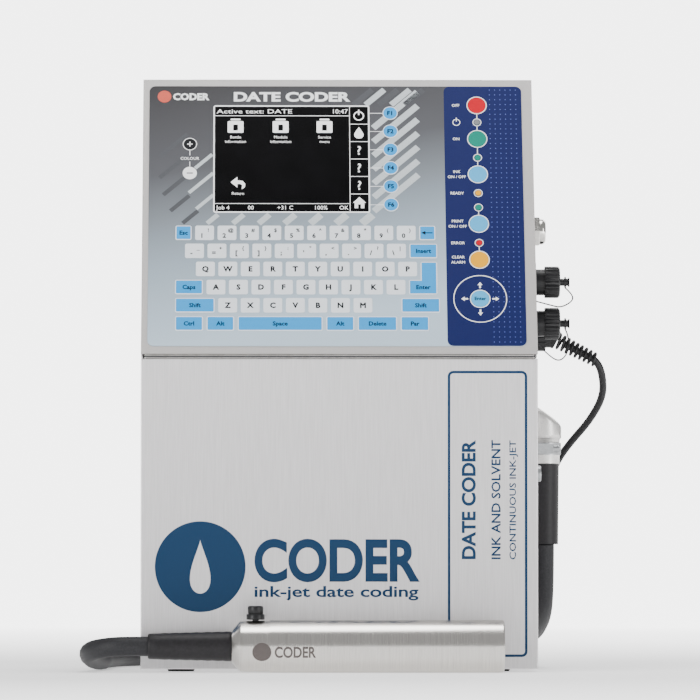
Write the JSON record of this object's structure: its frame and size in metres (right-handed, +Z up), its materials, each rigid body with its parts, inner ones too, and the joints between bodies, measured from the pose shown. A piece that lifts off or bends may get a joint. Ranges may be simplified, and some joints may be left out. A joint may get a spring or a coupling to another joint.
{
  "type": "date code inkjet printer",
  "caption": "Inkjet date coder: steel cabinet with front door, leaning keypad console, side connectors, a hose and a cylindrical print head.",
  "frame": {"origin": "on the floor, midway between the four feet", "axes": "+X to the viewer's right along the door, +Y from the door to the rear, +Z up"},
  "size_m": [0.4339, 0.5446, 0.4872],
  "materials": {
    "yellow_key": "satin",
    "black_plastic": "matte",
    "stainless": "fine vertical brush",
    "hose_black": "matte",
    "black_rubber": "matte",
    "board": "satin",
    "zinc": "plated",
    "console_grey": "matte",
    "head_inside": "machined",
    "blue_key": "satin",
    "head_steel": "turned and satin",
    "cast_silver": "satin",
    "bottle_plastic": "translucent",
    "keys": "embossed film",
    "membrane": "satin film",
    "red_key": "satin",
    "green_key": "satin",
    "screen": "gloss",
    "nickel": "polished"
  },
  "bodies": {
    "cabinet": {"bottle_tray": "black_plastic", "cabinet_wrap": "stainless", "cable_coil": "hose_black", "cable_run": "hose_black", "cable_strain_relief": "black_rubber", "cable_tail": "hose_black", "console_hinge": "zinc", "door_hinge_plates": "zinc", "equipment_frame": "zinc", "fan_frame": "black_plastic", "hose_cabinet_run": "hose_black", "hose_clamp": "zinc", "hose_coil": "hose_black", "hose_elbow": "cast_silver", "hose_head_run": "hose_black", "hose_sleeve_cabinet": "black_rubber", "ink_filter": "bottle_plastic", "ink_manifold": "head_inside", "ink_pump": "black_plastic", "lower_tether": "hose_black", "main_board": "board", "mains_plug": "black_rubber", "mixer_tank": "bottle_plastic", "panel_sockets": "black_plastic", "power_supply": "head_inside", "rear_cover": "stainless", "rear_cover_screws": "zinc", "rubber_feet": "black_rubber", "side_panel_left": "stainless", "side_panel_right": "stainless", "upper_tether": "hose_black", "vent_plug": "nickel"},
    "door": {"front_door": "stainless"},
    "print_head": {"head_tail_housing": "head_steel", "hose_sleeve_head": "black_rubber", "head_chassis": "head_inside", "drop_generator": "head_inside", "head_electrodes": "head_inside"},
    "head_cover": {"head_cover_tube": "head_steel"},
    "thumb_screw": {"head_thumb_screw": "black_plastic"},
    "console": {"console_lid": "console_grey", "keypad_membrane": "membrane", "keyboard_keys": "keys", "console_electronics": "board", "screen_window": "screen"},
    "upper_cap": {"upper_dust_cap": "black_plastic"},
    "lower_cap": {"lower_dust_cap": "black_plastic"},
    "cable_nut": {"coupling_nut": "black_plastic"},
    "lock": {"door_lock": "zinc"},
    "ink_container": {"ink_bottle": "bottle_plastic"},
    "ink_cap": {"ink_bottle_cap": "black_plastic"},
    "solvent_container": {"solvent_bottle": "bottle_plastic"},
    "solvent_cap": {"solvent_bottle_cap": "black_plastic"},
    "fan": {"fan_rotor": "black_plastic"},
    "alarm_key": {"alarm_button": "yellow_key"},
    "enter_key": {"enter_button": "blue_key"},
    "ink_key": {"ink_button": "blue_key"},
    "off_key": {"off_button": "red_key"},
    "on_key": {"on_button": "green_key"},
    "print_key": {"print_button": "blue_key"}
  },
  "joints": [
    {"name": "door_swing", "type": "hinge", "parent": "cabinet", "child": "door", "pos_m": [-0.148, -0.1225, 0.127], "axis": [0, 0, -1], "range_deg": [0, 100]},
    {"name": "head_swing", "type": "hinge", "parent": "cabinet", "child": "print_head", "pos_m": [-0.222, -0.1685, 0.021], "axis": [0, 0, -1], "range_deg": [0, 100]},
    {"name": "head_cover_slide", "type": "slide", "parent": "print_head", "child": "head_cover", "axis": [1, 0, 0], "range_m": [0, 0.15]},
    {"name": "thumb_screw_turn", "type": "hinge", "parent": "print_head", "child": "thumb_screw", "pos_m": [-0.0675, -0.1685, 0.042], "axis": [0, 0, 1], "continuous": true},
    {"name": "console_tilt", "type": "hinge", "parent": "cabinet", "child": "console", "pos_m": [0, -0.008, 0.48525], "axis": [-1, 0, 0], "range_deg": [0, 70]},
    {"name": "upper_cap_turn", "type": "hinge", "parent": "cabinet", "child": "upper_cap", "pos_m": [0.175, -0.0325, 0.3185], "axis": [1, 0, 0], "continuous": true},
    {"name": "lower_cap_turn", "type": "hinge", "parent": "cabinet", "child": "lower_cap", "pos_m": [0.175, -0.0325, 0.2845], "axis": [1, 0, 0], "continuous": true},
    {"name": "coupling_nut_turn", "type": "hinge", "parent": "cabinet", "child": "cable_nut", "pos_m": [0.168, 0.0175, 0.275], "axis": [1, 0, 0], "continuous": true},
    {"name": "door_lock_turn", "type": "hinge", "parent": "cabinet", "child": "lock", "pos_m": [0.16, -0.099, 0.16], "axis": [1, 0, 0], "range_deg": [0, 90]},
    {"name": "ink_bottle_lift", "type": "slide", "parent": "cabinet", "child": "ink_container", "axis": [0, 0, 1], "range_m": [0, 0.03]},
    {"name": "ink_cap_turn", "type": "hinge", "parent": "ink_container", "child": "ink_cap", "pos_m": [-0.104, -0.066, 0.17], "axis": [0, 0, 1], "continuous": true},
    {"name": "solvent_bottle_lift", "type": "slide", "parent": "cabinet", "child": "solvent_container", "axis": [0, 0, 1], "range_m": [0, 0.03]},
    {"name": "solvent_cap_turn", "type": "hinge", "parent": "solvent_container", "child": "solvent_cap", "pos_m": [-0.026, -0.066, 0.17], "axis": [0, 0, 1], "continuous": true},
    {"name": "fan_spin", "type": "hinge", "parent": "cabinet", "child": "fan", "pos_m": [0.07, 0.12, 0.4], "axis": [0, 1, 0], "continuous": true},
    {"name": "alarm_key_press", "type": "slide", "parent": "console", "child": "alarm_key", "axis": [0, 0.9018, -0.4321], "range_m": [0, 0.0005], "stiffness_N_per_m": 1500},
    {"name": "enter_key_press", "type": "slide", "parent": "console", "child": "enter_key", "axis": [0, 0.9018, -0.4321], "range_m": [0, 0.0005], "stiffness_N_per_m": 1500},
    {"name": "ink_key_press", "type": "slide", "parent": "console", "child": "ink_key", "axis": [0, 0.9018, -0.4321], "range_m": [0, 0.0005], "stiffness_N_per_m": 1500},
    {"name": "off_key_press", "type": "slide", "parent": "console", "child": "off_key", "axis": [0, 0.9018, -0.4321], "range_m": [0, 0.0005], "stiffness_N_per_m": 1500},
    {"name": "on_key_press", "type": "slide", "parent": "console", "child": "on_key", "axis": [0, 0.9018, -0.4321], "range_m": [0, 0.0005], "stiffness_N_per_m": 1500},
    {"name": "print_key_press", "type": "slide", "parent": "console", "child": "print_key", "axis": [0, 0.9018, -0.4321], "range_m": [0, 0.0005], "stiffness_N_per_m": 1500}
  ],
  "couplings": [
    {"joint": "head_swing", "follows": "door_swing", "ratio": 1}
  ]
}
